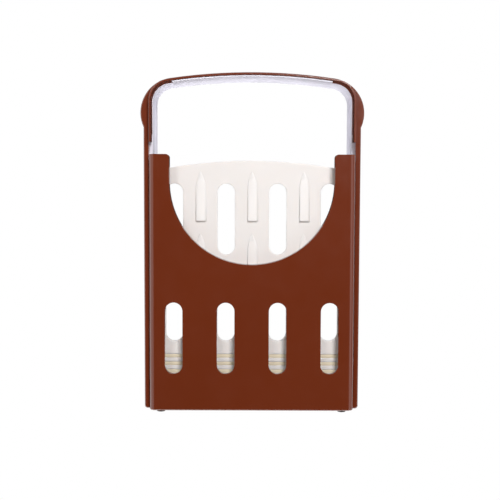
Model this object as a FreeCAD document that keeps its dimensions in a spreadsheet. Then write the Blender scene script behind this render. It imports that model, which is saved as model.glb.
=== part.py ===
import FreeCAD, Part
import math
import os
import Sketcher

# Folding bread slicer guide, in millimetres: an arched gate with a knife slit, a slotted bed that
# folds down behind it and a slotted stop plate that slides forward to set the slice thickness.
# +Z is up, the front faces -Y, and the origin is at the bottom centre of the folded guide.

SIZES = {
    # gate outline, seen from the front
    "arch_top": 240.0,          # height of the crown of the arch
    "arch_radius": 400.0,       # outer radius of the shallow arch
    "ear_reach": 2.2,           # how far the ears reach past the legs
    "ear_radius": 24.5,         # radius of the round ears
    "leg_wide": 5.6,            # legs beside the opening, under the ears
    "leg_taper": 0.2,           # how much narrower each leg is at the floor
    "leg_corner": 2.0,          # rounding of the legs' outer bottom corners
    "opening_half": 71.0,       # half width of the gate opening
    "opening_corner": 13.0,     # rounding of the opening's upper corners
    "skin_top": 1.0,            # brown skin over the arch
    "liner_top": 1.0,           # white liner under the arch
    "liner_side": 3.0,          # white liner on the legs
    "liner_lip": 1.4,           # liner's lip round the rear edge
    "leg_block": 20.0,          # top of the solid leg ends, where the knife slit stops
    "slit_drop": 43.0,          # crown of the arch to the top of the knife slit
    # gate layers, front to back
    "flange_thick": 5.5,        # front half of the gate
    "slit_width": 3.0,          # knife slit between the halves
    "liner_deep": 28.5,         # liner up to its rear lip
    "rear_flange": 3.0,         # rear edge of the gate
    "rim_reach": 5.0,           # how far the rim stands in front of the flange
    "rim_wide": 1.5,            # rim beside the opening
    "rim_round": 0.6,           # rounding of the rim's outer front edge
    "rim_wall": 2.4,            # crown of the arch to the rim's inside
    "rim_drop": 49.0,           # crown of the arch to the rim's ends on the legs
    "rim_inset": 0.2,           # rim opening outside the liner's
    "leg_strip": 2.0,           # liner showing beside the front half's legs
    "tongue_inset": 15.0,       # opening's side to the end of the liner's tongue
    "tongue_thick": 1.0,
    "tongue_setback": 1.0,      # tongue behind the rim's front edge
    "bead_deep": 3.0,           # depth of the bead that carries the tongue
    "groove_place": 15.5,       # knife side of the liner to its line groove
    "groove_wide": 1.2,
    "groove_deep": 0.8,
    "groove_drop": 11.0,        # crown of the arch to the top of the line groove
    "edge_chamfer": 0.7,        # on the gate's front edges
    "fit_gap": 0.1,             # between curved faces that fit each other
    # base
    "foot_high": 1.0,
    "foot_radius": 3.5,
    "foot_edge": 6.0,           # gate feet from the base plate's ends
    "foot_inset": 6.5,          # gate feet from the sill's front and back
    "plate_thick": 2.2,
    "plate_inset": 5.0,         # opening's side to the base plate's end
    "sill_roof": 0.9,           # sill over the springs' recesses
    "lug_clear": 1.5,           # room under the bed's lugs
    "lug_side_clear": 2.5,      # room beside the bed's lugs
    "running_gap": 0.3,         # clearance round what slides
    # stop plate
    "stop_overlap": 1.3,        # stop plate over the legs' inner edges
    "stop_rim_gap": 8.7,        # stop plate's top under the rim's ends
    "stop_deep": 6.7,
    "stop_skin": 2.5,
    "stop_wall": 2.0,
    "stop_round": 3.7,          # rounding of the stop plate's long edges
    "stop_chamfer": 0.7,        # on its bottom front edge
    "tab_wide": 14.3,           # tabs beside the round cut-out
    "tab_high": 19.5,           # tabs over the cut-out's centre
    "tab_round": 2.5,
    "slot_edge": 13.45,         # bed's side to the outer slots' centres
    "slot_radius": 6.2,
    "stop_slot_low": 27.4,
    "stop_slot_gap": 26.7,      # slots' upper ends under the cut-out
    "stop_foot_edge": 8.0,      # stop plate's side to its foot's centre
    # runners, their springs and screws
    "runner_half": 45.0,        # half spacing of the runners
    "runner_wide": 10.0,
    "runner_thick": 3.0,
    "runner_land": 3.5,         # last notch to the runner's rear end
    "notch_deep": 0.8,
    "notch_pitch": 5.0,         # one step of slice thickness
    "notch_count": 5,
    "spring_bump": 4.0,         # knife slit to the spring's bump
    "spring_long": 14.5,        # bump to the spring's rear end
    "spring_wide": 6.0,
    "spring_thick": 0.5,
    "spring_room": 1.8,         # height of the spring's recess over the channel
    # bed
    "bed_side_gap": 2.5,        # bed's side to the opening's
    "bed_drop": 1.5,            # bed's near end below the hinge
    "bed_stop_gap": 4.1,        # bed's top below the stop plate's
    "bed_thick": 2.5,
    "bed_wall": 2.0,
    "bed_corner": 6.0,
    "bed_shallow": 8.0,         # depth of the bed's near end
    "bed_clear": 0.5,           # unfolded bed over the floor
    "bed_step_low": 45.0,       # where the deep skirt begins
    "bed_step_high": 57.0,
    "bed_slot_low": 49.5,       # lower end of the lower row of slots
    "bed_slot_gap": 11.5,       # between the two rows of slots
    "bed_slot_drop": 16.2,      # bed's top to the upper row's upper ends
    "rib_wide": 5.7,
    "rib_point": 10.5,
    "rib_high": 1.8,
    "rib_drop": 10.0,           # bed's top to the uppermost rib's point
    "rib_gap": 11.7,            # from rib to rib in a column
    "rib_bar_gap": 7.9,         # grooved grip to the lowest rib
    "bar_top": 40.0,            # grooved grip at the near end
    "bar_wide": 2.6,
    "bar_deep": 1.0,
    "bar_pitch": 5.5,
    "bar_count": 5,
    "stiffener_deep": 6.0,
    "stiffener_wall": 1.6,
    "post_radius": 4.0,         # corner posts over the bed's feet
    "post_clear": 0.2,          # bed's foot to the inside of its skirt
    "post_drop": 13.0,          # bed's top to the posts' centres
    "bed_foot_radius": 2.8,
    "bed_foot_high": 1.0,
    # hinge
    "hinge_rise": 2.5,          # hinge axis over the sill
    "hinge_setback": 3.5,       # knife slit to the hinge axis
    "pin_radius": 2.0,
    "pin_inset": 0.4,           # pins' outer ends below the legs' surface
    "pin_gap": 0.05,            # running clearance in the bed's lugs
    "lug_wall": 1.95,           # lug round the pin's bore
    # catches that hold the folded bed
    "catch_drop": 28.2,         # bed's top to the catches' centres
    "catch_long": 16.0,
    "catch_wide": 4.0,
    "catch_plate": 1.2,
    "catch_behind": 1.0,        # catch behind the bed's skirt
    # screws
    "screw_radius": 1.2,
    "screw_head": 1.9,
    "screw_head_thick": 1.4,
    "screw_grip": 7.0,          # thread length in the front half
    "screw_seat": 6.5,          # slit to the frame screws' heads
    "frame_screw_height": 5.8,
    "small_screw": 0.9,
    "small_screw_head": 1.8,
    "small_screw_head_thick": 0.9,
    "small_screw_long": 4.0,
    "base_screw_half": 28.0,
}

doc = FreeCAD.newDocument("BreadSlicerGuide")
sheet = doc.addObject("Spreadsheet::Sheet", "Sizes")


class Size:
    """A length that carries both its number and the sheet formula that gives it."""

    def __init__(self, value, formula):
        self.value = float(value)
        self.formula = formula

    def __add__(self, other):
        other = as_size(other)
        return Size(self.value + other.value, f"({self.formula} + {other.formula})")

    def __sub__(self, other):
        other = as_size(other)
        return Size(self.value - other.value, f"({self.formula} - {other.formula})")

    def __mul__(self, other):
        other = as_size(other)
        return Size(self.value * other.value, f"({self.formula} * {other.formula})")

    def __truediv__(self, other):
        other = as_size(other)
        return Size(self.value / other.value, f"({self.formula} / {other.formula})")

    def __rsub__(self, other):
        return as_size(other) - self

    def __neg__(self):
        return Size(-self.value, f"(0 - {self.formula})")

    __radd__ = __add__
    __rmul__ = __mul__


def as_size(number):
    return number if isinstance(number, Size) else Size(number, repr(float(number)))


def root(size):
    return Size(math.sqrt(size.value), f"sqrt({size.formula})")


class Dimensions:
    """Every cell of the sheet as an attribute."""


def fill_sheet():
    dimensions = Dimensions()
    for row, (alias, number) in enumerate(SIZES.items(), start=1):
        sheet.set(f"A{row}", alias)
        sheet.set(f"B{row}", str(number))
        sheet.setAlias(f"B{row}", alias)
        setattr(dimensions, alias, Size(number, f"Sizes.{alias}"))
    doc.recompute()
    return dimensions


d = fill_sheet()
ZERO = as_size(0)

# Stations from front to back, with the folded guide centred on the origin.
STOP_FRONT = -(d.stop_deep + d.running_gap + d.flange_thick + d.slit_width
               + d.liner_deep + d.rear_flange) / 2
STOP_BACK = STOP_FRONT + d.stop_deep
FLANGE_FRONT = STOP_BACK + d.running_gap
SLIT_FRONT = FLANGE_FRONT + d.flange_thick
SLIT_BACK = SLIT_FRONT + d.slit_width
LINER_BACK = SLIT_BACK + d.liner_deep
GATE_BACK = LINER_BACK + d.rear_flange
RIM_FRONT = FLANGE_FRONT - d.rim_reach
BED_FACE = FLANGE_FRONT + d.rib_high
BED_UNDER = BED_FACE + d.bed_thick
HINGE_Y = SLIT_BACK + d.hinge_setback
SPRING_BUMP = SLIT_BACK + d.spring_bump
SPRING_FRONT = SPRING_BUMP - 2 * d.notch_deep
SPRING_BACK = SPRING_BUMP + d.spring_long
RUNNER_TAIL = SPRING_BUMP + (d.notch_count - 1) * d.notch_pitch + d.runner_land

# Levels from the floor up.
UNDERSIDE = d.foot_high
PLATE_TOP = UNDERSIDE + d.plate_thick
RUNNER_LOW = PLATE_TOP + d.running_gap
RUNNER_HIGH = RUNNER_LOW + d.runner_thick
CHANNEL_TOP = RUNNER_HIGH + d.running_gap
SPRING_ROOF = CHANNEL_TOP + d.spring_room
CROSSBAR_TOP = SPRING_ROOF + d.sill_roof
HINGE_Z = CROSSBAR_TOP + d.hinge_rise
BED_LOW = HINGE_Z - d.bed_drop
LUG_RADIUS = d.pin_radius + d.pin_gap + d.lug_wall

# Levels from the crown of the arch down.
SLIT_TOP = d.arch_top - d.slit_drop
RIM_BOTTOM = d.arch_top - d.rim_drop
STOP_TOP = RIM_BOTTOM - d.stop_rim_gap
BED_TOP = STOP_TOP - d.bed_stop_gap
POST_Z = BED_TOP - d.post_drop
CATCH_Z = BED_TOP - d.catch_drop
CATCH_LOW = CATCH_Z - d.catch_long / 2
CATCH_HIGH = CATCH_Z + d.catch_long / 2

# Depths behind the hinge that lie on or near the floor once the bed is unfolded.
BED_REAR = HINGE_Y + HINGE_Z - d.bed_clear
POST_END = HINGE_Y + HINGE_Z - d.bed_foot_high
CATCH_FRONT = BED_REAR + d.catch_behind

# Half widths, from the opening outwards and inwards.
LEG_TOP = d.opening_half + d.leg_wide
LEG_FOOT = LEG_TOP - d.leg_taper
EAR_HALF = LEG_TOP + d.ear_reach
RIM_HALF = d.opening_half + d.rim_wide
STOP_HALF = d.opening_half + d.stop_overlap
PLATE_HALF = d.opening_half - d.plate_inset
BED_HALF = d.opening_half - d.bed_side_gap
POST_X = BED_HALF - d.bed_wall - d.post_clear - d.bed_foot_radius
CUTOUT_RADIUS = STOP_HALF - d.tab_wide
CUTOUT_Z = STOP_TOP - d.tab_high

# Slots and ribs fill what the bed's and the stop plate's edges leave.
SLOT_PITCH = (BED_HALF - d.slot_edge) / 1.5
STOP_SLOT_HIGH = CUTOUT_Z - CUTOUT_RADIUS - d.stop_slot_gap
BED_SLOT_LONG = (BED_TOP - d.bed_slot_drop - d.bed_slot_low - d.bed_slot_gap) / 2
RIB_TOP = BED_TOP - d.rib_drop
RIB_LONG = (RIB_TOP - d.bar_top - d.rib_bar_gap - 2 * d.rib_gap) / 3
RIB_PITCH = RIB_LONG + d.rib_gap

ARCH_CENTRE = d.arch_top - d.arch_radius
LINER_OUT = d.opening_half + d.liner_side
LINER_CROWN = d.arch_top - d.skin_top
OPENING_CROWN = LINER_CROWN - d.liner_top
RIM_CROWN = d.arch_top - d.rim_wall
EAR_X = EAR_HALF - d.ear_radius
EAR_Z = ARCH_CENTRE + root((d.arch_radius - d.ear_radius) * (d.arch_radius - d.ear_radius) - EAR_X * EAR_X)
SIDES = {"left": -1, "right": 1}


def add_body(name):
    body = doc.addObject("PartDesign::Body", name)
    body.Label = name
    return body


class Drawing:
    """A fully dimensioned sketch on one of its body's origin planes."""

    def __init__(self, body, plane, offset, name):
        self.sketch = body.newObject("Sketcher::SketchObject", name)
        support = next(item for item in body.Origin.OriginFeatures if item.Role == plane)
        self.sketch.AttachmentSupport = (support, [""])
        self.sketch.MapMode = "FlatFace"
        self.sketch.AttachmentOffset = FreeCAD.Placement(
            FreeCAD.Vector(0, 0, offset.value), FreeCAD.Rotation())
        self.sketch.setExpression(".AttachmentOffset.Base.z", offset.formula)
        self.shapes = []
        self.rules = []
        self.named = []

    def dimension(self, kind, *arguments, size):
        """Add a driving constraint and remember the formula that sets it."""
        self.rules.append(Sketcher.Constraint(kind, *arguments, size.value))
        self.named.append((len(self.rules) - 1, size.formula))

    def place(self, index, end, u, v):
        self.dimension("DistanceX", -1, 1, index, end, size=u)
        self.dimension("DistanceY", -1, 1, index, end, size=v)

    def loop(self, corners):
        """Closed outline of (u, v) or (u, v, radius): a radius starts an arc with its centre on the left,
        or on the right if it is negative."""
        first = len(self.shapes)
        count = len(corners)
        for step, corner in enumerate(corners):
            u, v = as_size(corner[0]), as_size(corner[1])
            following = corners[(step + 1) % count]
            begin = FreeCAD.Vector(u.value, v.value, 0)
            end = FreeCAD.Vector(as_size(following[0]).value, as_size(following[1]).value, 0)
            if len(corner) == 2:
                self.shapes.append(Part.LineSegment(begin, end))
                tail, head = 1, 2
            else:
                radius = as_size(corner[2])
                self.shapes.append(minor_arc(begin, end, radius.value))
                leftward = radius.value > 0
                tail, head = (1, 2) if leftward else (2, 1)
                size = radius if leftward else -radius
                self.dimension("Radius", first + step, size=size)
            self.place(first + step, tail, u, v)
            corner_ends = (tail, head)
            if step:
                self.rules.append(Sketcher.Constraint("Coincident", first + step - 1, previous[1],
                                                      first + step, tail))
            else:
                opening_end = tail
            previous = corner_ends
        self.rules.append(Sketcher.Constraint("Coincident", first + count - 1, previous[1],
                                              first, opening_end))

    def rectangle(self, u_low, u_high, v_low, v_high):
        self.loop([(u_low, v_low), (u_high, v_low), (u_high, v_high), (u_low, v_high)])

    def circle(self, u, v, radius):
        u, v = as_size(u), as_size(v)
        index = len(self.shapes)
        centre = FreeCAD.Vector(u.value, v.value, 0)
        self.shapes.append(Part.Circle(centre, FreeCAD.Vector(0, 0, 1), radius.value))
        self.dimension("Radius", index, size=radius)
        self.place(index, 3, u, v)

    def slot(self, u, v_low, v_high, radius):
        """Upright slot with round ends, from v_low to v_high over the ends."""
        u = as_size(u)
        first = len(self.shapes)
        top = v_high - radius
        bottom = v_low + radius
        up = FreeCAD.Vector(0, 0, 1)
        across = FreeCAD.Vector(radius.value, 0, 0)
        high = FreeCAD.Vector(u.value, top.value, 0)
        low = FreeCAD.Vector(u.value, bottom.value, 0)
        self.shapes.append(Part.ArcOfCircle(Part.Circle(high, up, radius.value), 0, math.pi))
        self.shapes.append(Part.LineSegment(high - across, low - across))
        self.shapes.append(Part.ArcOfCircle(Part.Circle(low, up, radius.value), math.pi, 2 * math.pi))
        self.shapes.append(Part.LineSegment(low + across, high + across))
        for step in range(4):
            following = first + (step + 1) % 4
            self.rules.append(Sketcher.Constraint("Tangent", first + step, 2, following, 1))
        self.rules.append(Sketcher.Constraint("Equal", first, first + 2))
        self.dimension("Radius", first, size=radius)
        self.place(first, 3, u, top)
        self.place(first + 2, 3, u, bottom)

    def close(self):
        """Put the outlines and their constraints into the sketch."""
        self.sketch.addGeometry(self.shapes, False)
        self.sketch.addConstraint(self.rules)
        for number, (index, formula) in enumerate(self.named):
            self.sketch.renameConstraint(index, f"size{number}")
            self.sketch.setExpression(f"Constraints.size{number}", formula)
        return self.sketch


def minor_arc(begin, end, radius):
    """Arc of at most a half turn from begin to end, centre on the left for a positive radius."""
    chord = end - begin
    reach = math.sqrt(max(radius * radius - chord.Length ** 2 / 4, 0.0))
    normal = FreeCAD.Vector(-chord.y, chord.x, 0).normalize() * math.copysign(1.0, radius)
    centre = (begin + end) * 0.5 + normal * reach
    start, stop = (begin, end) if radius > 0 else (end, begin)
    first = math.atan2(start.y - centre.y, start.x - centre.x)
    last = math.atan2(stop.y - centre.y, stop.x - centre.x)
    while last <= first:
        last += 2 * math.pi
    return Part.ArcOfCircle(Part.Circle(centre, FreeCAD.Vector(0, 0, 1), abs(radius)), first, last)


def front_view(body, y, name):
    """Sketch in X and Z at depth y; its normal points to the front."""
    return Drawing(body, "XZ_Plane", -y, name)


def top_view(body, z, name):
    return Drawing(body, "XY_Plane", z, name)


def side_view(body, x, name):
    """Sketch in Y and Z at x; its normal points to +X."""
    return Drawing(body, "YZ_Plane", x, name)


def extrude(kind, body, drawing, length, name, backwards):
    feature = body.newObject(kind, name)
    feature.Profile = drawing.close()
    feature.Length = length.value
    feature.setExpression("Length", length.formula)
    feature.Reversed = backwards
    body.Tip = feature
    return feature


def pad(body, drawing, length, name, against_normal=False):
    return extrude("PartDesign::Pad", body, drawing, length, name, against_normal)


def pocket(body, drawing, length, name, along_normal=False):
    return extrude("PartDesign::Pocket", body, drawing, length, name, along_normal)


def repeat(body, features, axis, pitch, count, name):
    """Copies of features along one of the body's origin axes, count in all."""
    pattern = body.newObject("PartDesign::LinearPattern", name)
    direction = next(item for item in body.Origin.OriginFeatures if item.Role == axis)
    pattern.Originals = features
    pattern.Direction = (direction, [""])
    pattern.Mode = "Spacing"
    pattern.Offset = pitch.value
    pattern.setExpression("Offset", pitch.formula)
    pattern.Occurrences = int(count.value)
    pattern.setExpression("Occurrences", count.formula)
    body.Tip = pattern
    return pattern


def dress_edges(kind, body, size, wanted, name):
    """Fillet or chamfer the edges of the body so far that the function wanted picks."""
    doc.recompute()
    base = body.Tip
    edges = [f"Edge{index}" for index, edge in enumerate(base.Shape.Edges, start=1) if wanted(edge)]
    feature = body.newObject(f"PartDesign::{kind}", name)
    feature.Base = (base, edges)
    driven = {"Fillet": "Radius", "Chamfer": "Size"}[kind]
    setattr(feature, driven, size.value)
    feature.setExpression(driven, size.formula)
    body.Tip = feature
    return feature


def arched(half, crown, corner, bottom):
    """Outline with straight legs, rounded shoulders and an arch parallel to the gate's."""
    radius = crown - ARCH_CENTRE
    inner = radius - corner
    shoulder = ARCH_CENTRE + root(inner * inner - (half - corner) * (half - corner))
    touch_x = (half - corner) * radius / inner
    touch_z = ARCH_CENTRE + (shoulder - ARCH_CENTRE) * radius / inner
    return [(-half, bottom), (half, bottom), (half, shoulder, corner),
            (touch_x, touch_z, radius), (-touch_x, touch_z, corner), (-half, shoulder)]


def eared():
    """Outline of the gate: tapered legs, round ears and the arch that runs into them."""
    notch_z = EAR_Z - root(d.ear_radius * d.ear_radius
                           - (LEG_TOP - EAR_X) * (LEG_TOP - EAR_X))
    touch_x = EAR_X * d.arch_radius / (d.arch_radius - d.ear_radius)
    touch_z = ARCH_CENTRE + (EAR_Z - ARCH_CENTRE) * d.arch_radius / (d.arch_radius - d.ear_radius)
    inset = LEG_FOOT - d.leg_corner
    lift = UNDERSIDE + d.leg_corner
    return [(-inset, UNDERSIDE), (inset, UNDERSIDE, d.leg_corner), (LEG_FOOT, lift),
            (LEG_TOP, notch_z, d.ear_radius), (touch_x, touch_z, d.arch_radius),
            (-touch_x, touch_z, d.ear_radius), (-LEG_TOP, notch_z),
            (-LEG_FOOT, lift, d.leg_corner)]


def arch_band(half, low, high):
    """Thin band parallel to the arch between two crown heights, cut off square at x = half."""
    inner = low - ARCH_CENTRE
    outer = high - ARCH_CENTRE
    low_end = ARCH_CENTRE + root(inner * inner - half * half)
    high_end = ARCH_CENTRE + root(outer * outer - half * half)
    return [(-half, low_end, -inner), (half, low_end), (half, high_end, outer), (-half, high_end)]


def cut_box(body, y_low, y_high, x_low, x_high, z_low, z_high, name):
    """Square cut through the body from y_low back to y_high."""
    outline = front_view(body, y_low, f"{name}Outline")
    outline.rectangle(x_low, x_high, z_low, z_high)
    return pocket(body, outline, y_high - y_low, name)


def cut_runner_channels(body, y_low, y_high, z_low):
    """Two channels from front to back that the runners slide in."""
    half = d.runner_wide / 2 + d.running_gap
    outline = front_view(body, y_low, "ChannelOutline")
    for side in SIDES.values():
        centre = side * d.runner_half
        outline.rectangle(centre - half, centre + half, z_low, CHANNEL_TOP)
    return pocket(body, outline, y_high - y_low, "RunnerChannels")


def cut_lug_notches(body, y_low, y_high):
    """Room at both ends of a crossbar for the bed's lugs to turn in."""
    inner = BED_HALF - d.bed_wall - d.lug_side_clear
    low = HINGE_Z - LUG_RADIUS - d.lug_clear
    cut_box(body, y_low, y_high, inner, d.opening_half, low, CROSSBAR_TOP, "LugNotchRight")
    cut_box(body, y_low, y_high, -d.opening_half, -inner, low, CROSSBAR_TOP, "LugNotchLeft")


def frame_screw_places():
    """Centres of the screws through both halves: in the ears and in the leg ends."""
    ear = (LINER_OUT + d.fit_gap + EAR_HALF) / 2
    leg = (d.opening_half + LEG_FOOT) / 2
    upright = ((ear, EAR_Z), (leg, d.frame_screw_height))
    return [(side * x, z) for side in SIDES.values() for x, z in upright]


def bore(body, y_start, length, radius, name, along_normal=False):
    """Round holes at the four frame screws, towards the back unless along_normal."""
    outline = front_view(body, y_start, f"{name}Outline")
    for x, z in frame_screw_places():
        outline.circle(x, z, radius)
    return pocket(body, outline, length, name, along_normal)


def make_front_frame():
    body = add_body("front_frame")
    flange = front_view(body, FLANGE_FRONT, "FlangeOutline")
    flange.loop(eared())
    pad(body, flange, SLIT_BACK - FLANGE_FRONT, "Flange", against_normal=True)
    dress_edges("Chamfer", body, d.edge_chamfer, flange_edge, "FlangeChamfer")
    rim = front_view(body, FLANGE_FRONT, "RimOutline")
    rim_crown = RIM_CROWN + d.rim_wide - d.rim_inset
    rim.loop(arched(RIM_HALF, rim_crown, d.opening_corner + d.rim_wide, RIM_BOTTOM))
    pad(body, rim, d.rim_reach, "Rim")
    dress_edges("Fillet", body, d.rim_round, rim_edge, "RimEdge")
    window = front_view(body, RIM_FRONT, "WindowOutline")
    inset = d.rim_inset
    window.loop(arched(d.opening_half + inset, RIM_CROWN, d.opening_corner + inset, RIM_BOTTOM - inset))
    pocket(body, window, SLIT_BACK - RIM_FRONT, "Window")
    half = d.opening_half + d.leg_strip
    cut_box(body, FLANGE_FRONT, SLIT_BACK, -half, half, CROSSBAR_TOP, RIM_BOTTOM, "LegOpening")
    cut_box(body, SLIT_FRONT, SLIT_BACK, -EAR_HALF, EAR_HALF, d.leg_block, SLIT_TOP, "KnifeSlit")
    cut_runner_channels(body, FLANGE_FRONT, SLIT_BACK, PLATE_TOP)
    cut_lug_notches(body, HINGE_Y - LUG_RADIUS - d.running_gap, SLIT_BACK)
    bore(body, SLIT_BACK, d.screw_grip, d.screw_radius, "ScrewHoles", along_normal=True)
    return body


def flange_edge(edge):
    """Picks the edges of the flange's front face."""
    box = edge.BoundBox
    return abs(box.YMin - FLANGE_FRONT.value) < 0.01 and abs(box.YMax - FLANGE_FRONT.value) < 0.01


def rim_edge(edge):
    """Picks the rim's front edges except where it ends on the legs."""
    box = edge.BoundBox
    front = abs(box.YMin - RIM_FRONT.value) < 0.01 and abs(box.YMax - RIM_FRONT.value) < 0.01
    return front and box.ZMax > RIM_BOTTOM.value + 0.01


def make_rear_frame():
    body = add_body("rear_frame")
    shell = front_view(body, SLIT_BACK, "ShellOutline")
    shell.loop(eared())
    pad(body, shell, GATE_BACK - SLIT_BACK, "Shell", against_normal=True)
    seat = front_view(body, SLIT_BACK, "LinerSeatOutline")
    gap = d.fit_gap
    seat.loop(arched(LINER_OUT + gap, LINER_CROWN + gap, d.opening_corner + d.liner_side + gap,
                     d.leg_block))
    pocket(body, seat, d.liner_deep, "LinerSeat")
    lip = front_view(body, LINER_BACK, "LipSeatOutline")
    lip.loop(arched(d.opening_half + d.liner_lip + gap, LINER_CROWN + gap,
                    d.opening_corner + d.liner_lip + gap, d.leg_block))
    pocket(body, lip, d.rear_flange, "LipSeat")
    cut_box(body, SLIT_BACK, GATE_BACK, -d.opening_half, d.opening_half, CROSSBAR_TOP, d.leg_block,
            "LowerOpening")
    cut_box(body, SLIT_BACK, LINER_BACK, -d.opening_half, d.opening_half, ZERO, CROSSBAR_TOP, "SillSpace")
    bore(body, SLIT_BACK, d.screw_seat, d.screw_radius, "ScrewHoles")
    bore(body, SLIT_BACK + d.screw_seat, GATE_BACK - SLIT_BACK - d.screw_seat,
         d.screw_head + d.fit_gap, "ScrewHeadBores")
    cut_pin_holes(body)
    return body


def cut_pin_holes(body):
    """Bores through both leg ends for the hinge pins."""
    for label, side in SIDES.items():
        outline = side_view(body, ZERO, f"PinBore{label}Outline")
        outline.circle(HINGE_Y, HINGE_Z, d.pin_radius + d.pin_gap)
        pocket(body, outline, EAR_HALF, f"PinBore{label}", along_normal=side > 0)


def make_inner_frame():
    body = add_body("inner_frame")
    liner = front_view(body, SLIT_BACK, "LinerOutline")
    liner.loop(arched(LINER_OUT, LINER_CROWN, d.opening_corner + d.liner_side, d.leg_block))
    pad(body, liner, d.liner_deep, "Liner", against_normal=True)
    lip = front_view(body, LINER_BACK, "LipOutline")
    lip.loop(arched(d.opening_half + d.liner_lip, LINER_CROWN, d.opening_corner + d.liner_lip, d.leg_block))
    pad(body, lip, d.rear_flange, "Lip", against_normal=True)
    opening = front_view(body, SLIT_BACK, "OpeningOutline")
    opening.loop(arched(d.opening_half, OPENING_CROWN, d.opening_corner, CROSSBAR_TOP))
    pocket(body, opening, d.liner_deep + d.rear_flange, "Opening")
    tongue_half = d.opening_half - d.tongue_inset
    tongue_low = RIM_CROWN - d.fit_gap - d.tongue_thick
    tongue = front_view(body, RIM_FRONT + d.tongue_setback, "TongueOutline")
    tongue.loop(arch_band(tongue_half, tongue_low, RIM_CROWN - d.fit_gap))
    pad(body, tongue, SLIT_BACK + d.bead_deep - RIM_FRONT - d.tongue_setback, "Tongue", against_normal=True)
    bead = front_view(body, SLIT_BACK, "BeadOutline")
    bead.loop(arch_band(tongue_half, tongue_low, OPENING_CROWN + d.liner_top / 2))
    pad(body, bead, d.bead_deep, "Bead", against_normal=True)
    groove_front = SLIT_BACK + d.groove_place
    half = d.opening_half + d.groove_deep
    cut_box(body, groove_front, groove_front + d.groove_wide, -half, half, d.leg_block,
            d.arch_top - d.groove_drop, "Groove")
    seat = d.opening_half + d.catch_plate
    cut_box(body, CATCH_FRONT, CATCH_FRONT + d.catch_wide, -seat, seat, CATCH_LOW, CATCH_HIGH, "CatchSeats")
    return body


def make_base_sill():
    body = add_body("base_sill")
    block = front_view(body, SLIT_BACK, "SillOutline")
    block.rectangle(-d.opening_half, d.opening_half, PLATE_TOP, CROSSBAR_TOP)
    pad(body, block, d.liner_deep, "Sill", against_normal=True)
    cut_lug_notches(body, SLIT_BACK, HINGE_Y + LUG_RADIUS + d.running_gap)
    cut_runner_channels(body, SLIT_BACK, LINER_BACK, PLATE_TOP)
    recess = top_view(body, CHANNEL_TOP, "SpringRecessOutline")
    half = d.spring_wide / 2 + d.fit_gap
    for side in SIDES.values():
        centre = side * d.runner_half
        recess.rectangle(centre - half, centre + half, SPRING_FRONT - d.running_gap, SPRING_BACK)
    pocket(body, recess, d.spring_room, "SpringRecesses", along_normal=True)
    holes = top_view(body, PLATE_TOP, "ScrewHoleOutline")
    for x, y in base_screw_places():
        holes.circle(x, y, d.small_screw)
    pocket(body, holes, d.small_screw_long - d.plate_thick + d.small_screw_head_thick, "ScrewHoles",
           along_normal=True)
    return body


def base_screw_places():
    return [(side * d.base_screw_half, (SLIT_BACK + LINER_BACK) / 2) for side in SIDES.values()]


def make_base_plate():
    body = add_body("base_plate")
    outline = top_view(body, UNDERSIDE, "PlateOutline")
    outline.rectangle(-PLATE_HALF, PLATE_HALF, SLIT_BACK, LINER_BACK)
    pad(body, outline, d.plate_thick, "Plate")
    for name, radius, depth in (("ScrewHoles", d.small_screw, d.plate_thick),
                                ("ScrewHeadSeats", d.small_screw_head, d.small_screw_head_thick)):
        holes = top_view(body, UNDERSIDE, f"{name}Outline")
        for x, y in base_screw_places():
            holes.circle(x, y, radius + d.fit_gap)
        pocket(body, holes, depth, name, along_normal=True)
    return body


def make_detent_spring(name, side):
    """Leaf in the sill whose bump drops towards the runner's notches."""
    body = add_body(name)
    tip = CHANNEL_TOP
    thick = d.spring_thick
    ramp = SPRING_ROOF - thick - tip
    free_end = SPRING_FRONT
    rise = (SPRING_BUMP - free_end) / 2
    strip = side_view(body, side * d.runner_half - d.spring_wide / 2, "SpringOutline")
    strip.loop([(SPRING_BUMP, tip), (SPRING_BUMP + 2 * ramp, SPRING_ROOF - thick),
                (SPRING_BACK, SPRING_ROOF - thick), (SPRING_BACK, SPRING_ROOF),
                (SPRING_BUMP + 2 * ramp, SPRING_ROOF), (SPRING_BUMP, tip + thick),
                (free_end, tip + rise + thick), (free_end, tip + rise)])
    pad(body, strip, d.spring_wide, "Leaf")
    return body


def make_bed_catch(name, side):
    """Nub in the liner that holds the folded bed by its skirt."""
    body = add_body(name)
    inner = BED_HALF + d.running_gap
    flat = d.catch_long / 6
    outline = front_view(body, CATCH_FRONT, "CatchOutline")
    points = [(side * (d.opening_half + d.catch_plate), CATCH_LOW),
              (side * (d.opening_half + d.catch_plate), CATCH_HIGH),
              (side * d.opening_half, CATCH_HIGH), (side * inner, CATCH_Z + flat),
              (side * inner, CATCH_Z - flat), (side * d.opening_half, CATCH_LOW)]
    outline.loop(points)
    pad(body, outline, d.catch_wide, "Catch", against_normal=True)
    return body


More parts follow.
